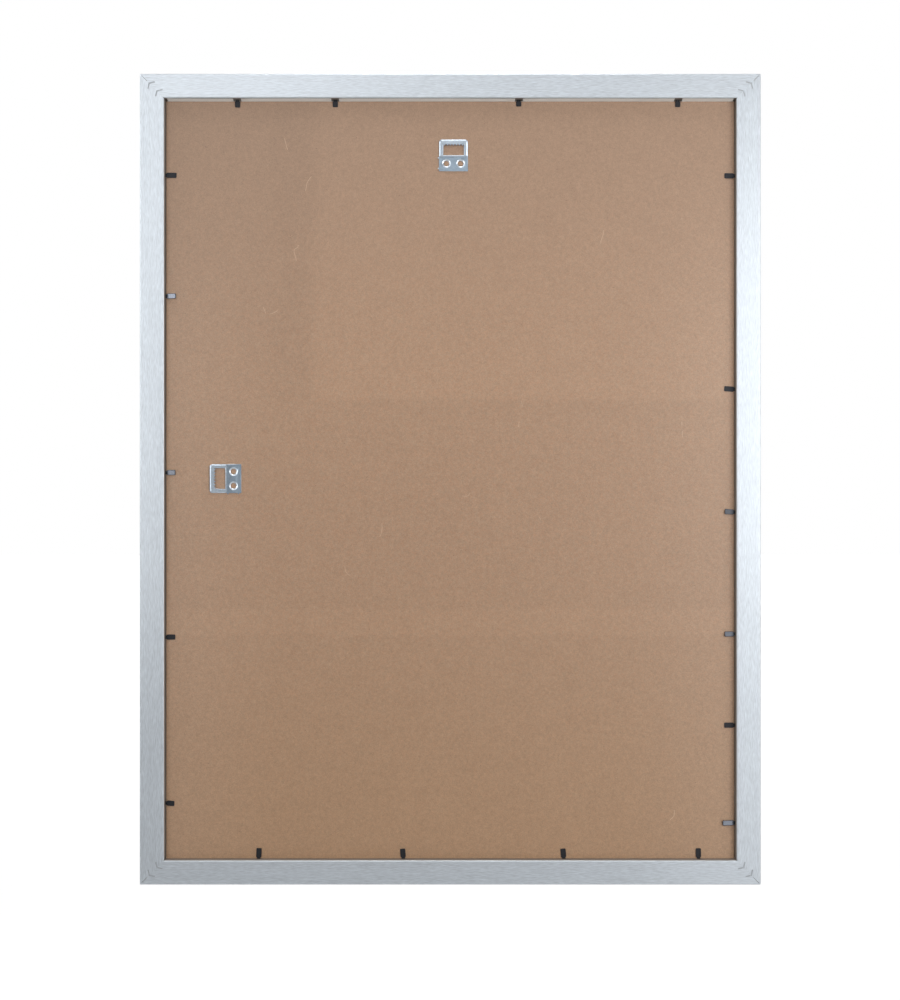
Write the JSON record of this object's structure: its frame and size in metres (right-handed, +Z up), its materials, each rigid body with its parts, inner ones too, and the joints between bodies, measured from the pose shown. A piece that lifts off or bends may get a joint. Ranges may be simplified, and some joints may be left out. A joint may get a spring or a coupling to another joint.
{
  "type": "poster frame",
  "caption": "Wooden poster frame with mitred silver moulding, glazing, blank insert and backing board held by bendable tabs, and sawtooth hangers for portrait or landscape.",
  "frame": {"origin": "where the wall nail bears: the middle of the top hanger's toothed edge, half way through its sheet", "axes": "+Z up with the frame upright, +Y out of the front, so that the back faces -Y, and +X to the right of someone who looks at the back"},
  "size_m": [0.654, 0.02, 0.854],
  "materials": {
    "silver_foil_wood": "wood moulding wrapped in satin silver foil, brushed along each rail",
    "brown_board": "bare brown fibreboard, fine mottled fibres",
    "white_sheet": "plain off-white paper card",
    "glazing": "clear, polished",
    "zinc_steel": "bright bluish zinc plate, pressed sheet",
    "nail_steel": "plain grey steel",
    "blued_steel": "black blued spring steel, glossy"
  },
  "bodies": {
    "frame": {"frame_rail_top": "silver_foil_wood", "tab_top_1_shank": "blued_steel", "tab_top_2_shank": "blued_steel", "tab_top_3_shank": "blued_steel", "tab_top_4_shank": "blued_steel", "v_nail_top_left_outer": "nail_steel", "v_nail_top_left_inner": "nail_steel", "frame_rail_bottom": "silver_foil_wood", "tab_bottom_1_shank": "blued_steel", "tab_bottom_2_shank": "blued_steel", "tab_bottom_3_shank": "blued_steel", "tab_bottom_4_shank": "blued_steel", "v_nail_bottom_right_outer": "nail_steel", "v_nail_bottom_right_inner": "nail_steel", "frame_rail_left": "silver_foil_wood", "tab_left_1_shank": "blued_steel", "tab_left_2_shank": "blued_steel", "tab_left_3_shank": "blued_steel", "tab_left_4_shank": "blued_steel", "tab_left_5_shank": "blued_steel", "v_nail_bottom_left_outer": "nail_steel", "v_nail_bottom_left_inner": "nail_steel", "frame_rail_right": "silver_foil_wood", "tab_right_1_shank": "blued_steel", "tab_right_2_shank": "blued_steel", "tab_right_3_shank": "blued_steel", "tab_right_4_shank": "blued_steel", "tab_right_5_shank": "blued_steel", "tab_right_6_shank": "blued_steel", "v_nail_top_right_outer": "nail_steel", "v_nail_top_right_inner": "nail_steel", "glazing_pane": "glazing", "insert_sheet": "white_sheet", "backing_board": "brown_board", "sawtooth_hanger_top": "zinc_steel", "sawtooth_hanger_side": "zinc_steel"},
    "tab_top_1": {"tab_top_1_leaf": "blued_steel"},
    "tab_top_2": {"tab_top_2_leaf": "blued_steel"},
    "tab_top_3": {"tab_top_3_leaf": "blued_steel"},
    "tab_top_4": {"tab_top_4_leaf": "blued_steel"},
    "tab_bottom_1": {"tab_bottom_1_leaf": "blued_steel"},
    "tab_bottom_2": {"tab_bottom_2_leaf": "blued_steel"},
    "tab_bottom_3": {"tab_bottom_3_leaf": "blued_steel"},
    "tab_bottom_4": {"tab_bottom_4_leaf": "blued_steel"},
    "tab_left_1": {"tab_left_1_leaf": "blued_steel"},
    "tab_left_2": {"tab_left_2_leaf": "blued_steel"},
    "tab_left_3": {"tab_left_3_leaf": "blued_steel"},
    "tab_left_4": {"tab_left_4_leaf": "blued_steel"},
    "tab_left_5": {"tab_left_5_leaf": "blued_steel"},
    "tab_right_1": {"tab_right_1_leaf": "blued_steel"},
    "tab_right_2": {"tab_right_2_leaf": "blued_steel"},
    "tab_right_3": {"tab_right_3_leaf": "blued_steel"},
    "tab_right_4": {"tab_right_4_leaf": "blued_steel"},
    "tab_right_5": {"tab_right_5_leaf": "blued_steel"},
    "tab_right_6": {"tab_right_6_leaf": "blued_steel"}
  },
  "joints": [
    {"name": "tab_top_1_bend", "type": "hinge", "parent": "frame", "child": "tab_top_1", "pos_m": [-0.22823, 0.00151, 0.0462], "axis": [-0.9995, 0, 0.0314], "range_deg": [-0.6, 89.4]},
    {"name": "tab_top_2_bend", "type": "hinge", "parent": "frame", "child": "tab_top_2", "pos_m": [-0.12503, 0.00151, 0.0462], "axis": [-1, 0, -0.0087], "range_deg": [0, 90]},
    {"name": "tab_top_3_bend", "type": "hinge", "parent": "frame", "child": "tab_top_3", "pos_m": [0.06895, 0.00151, 0.0462], "axis": [-0.9998, 0, -0.0175], "range_deg": [-0.4, 89.6]},
    {"name": "tab_top_4_bend", "type": "hinge", "parent": "frame", "child": "tab_top_4", "pos_m": [0.23728, 0.00151, 0.0462], "axis": [-0.9998, 0, 0.0192], "range_deg": [0, 90]},
    {"name": "tab_bottom_1_bend", "type": "hinge", "parent": "frame", "child": "tab_bottom_1", "pos_m": [-0.20606, 0.00151, -0.755], "axis": [0.9989, 0, -0.0471], "range_deg": [-0.8, 89.2]},
    {"name": "tab_bottom_2_bend", "type": "hinge", "parent": "frame", "child": "tab_bottom_2", "pos_m": [-0.05311, 0.00151, -0.755], "axis": [0.9966, 0, 0.0819], "range_deg": [0, 90]},
    {"name": "tab_bottom_3_bend", "type": "hinge", "parent": "frame", "child": "tab_bottom_3", "pos_m": [0.11674, 0.00151, -0.755], "axis": [0.9949, 0, 0.1011], "range_deg": [-0.6, 89.4]},
    {"name": "tab_bottom_4_bend", "type": "hinge", "parent": "frame", "child": "tab_bottom_4", "pos_m": [0.25918, 0.00151, -0.755], "axis": [0.9997, 0, 0.0227], "range_deg": [-0.2, 89.8]},
    {"name": "tab_left_1_bend", "type": "hinge", "parent": "frame", "child": "tab_left_1", "pos_m": [-0.304, 0.00151, -0.03271], "axis": [-0.0122, 0, -0.9999], "range_deg": [0, 90]},
    {"name": "tab_left_2_bend", "type": "hinge", "parent": "frame", "child": "tab_left_2", "pos_m": [-0.304, 0.00151, -0.16073], "axis": [0.0175, 0, -0.9998], "range_deg": [-6, 84]},
    {"name": "tab_left_3_bend", "type": "hinge", "parent": "frame", "child": "tab_left_3", "pos_m": [-0.304, 0.00151, -0.34738], "axis": [0.0175, 0, -0.9998], "range_deg": [-5, 85]},
    {"name": "tab_left_4_bend", "type": "hinge", "parent": "frame", "child": "tab_left_4", "pos_m": [-0.304, 0.00151, -0.52134], "axis": [0.0087, 0, -1], "range_deg": [-0.8, 89.2]},
    {"name": "tab_left_5_bend", "type": "hinge", "parent": "frame", "child": "tab_left_5", "pos_m": [-0.304, 0.00151, -0.69677], "axis": [-0.0732, 0, -0.9973], "range_deg": [-0.3, 89.7]},
    {"name": "tab_right_1_bend", "type": "hinge", "parent": "frame", "child": "tab_right_1", "pos_m": [0.2972, 0.00151, -0.03339], "axis": [0.0105, 0, 0.9999], "range_deg": [-0.4, 89.6]},
    {"name": "tab_right_2_bend", "type": "hinge", "parent": "frame", "child": "tab_right_2", "pos_m": [0.2972, 0.00151, -0.25923], "axis": [0.0785, 0, 0.9969], "range_deg": [0, 90]},
    {"name": "tab_right_3_bend", "type": "hinge", "parent": "frame", "child": "tab_right_3", "pos_m": [0.2972, 0.00151, -0.38905], "axis": [0.0593, 0, 0.9982], "range_deg": [-5, 85]},
    {"name": "tab_right_4_bend", "type": "hinge", "parent": "frame", "child": "tab_right_4", "pos_m": [0.2972, 0.00151, -0.518], "axis": [0, 0, 1], "range_deg": [-5, 85]},
    {"name": "tab_right_5_bend", "type": "hinge", "parent": "frame", "child": "tab_right_5", "pos_m": [0.2972, 0.00151, -0.6145], "axis": [0, 0, 1], "range_deg": [-0.6, 89.4]},
    {"name": "tab_right_6_bend", "type": "hinge", "parent": "frame", "child": "tab_right_6", "pos_m": [0.2972, 0.00151, -0.71771], "axis": [-0.007, 0, 1], "range_deg": [-6, 84]}
  ]
}
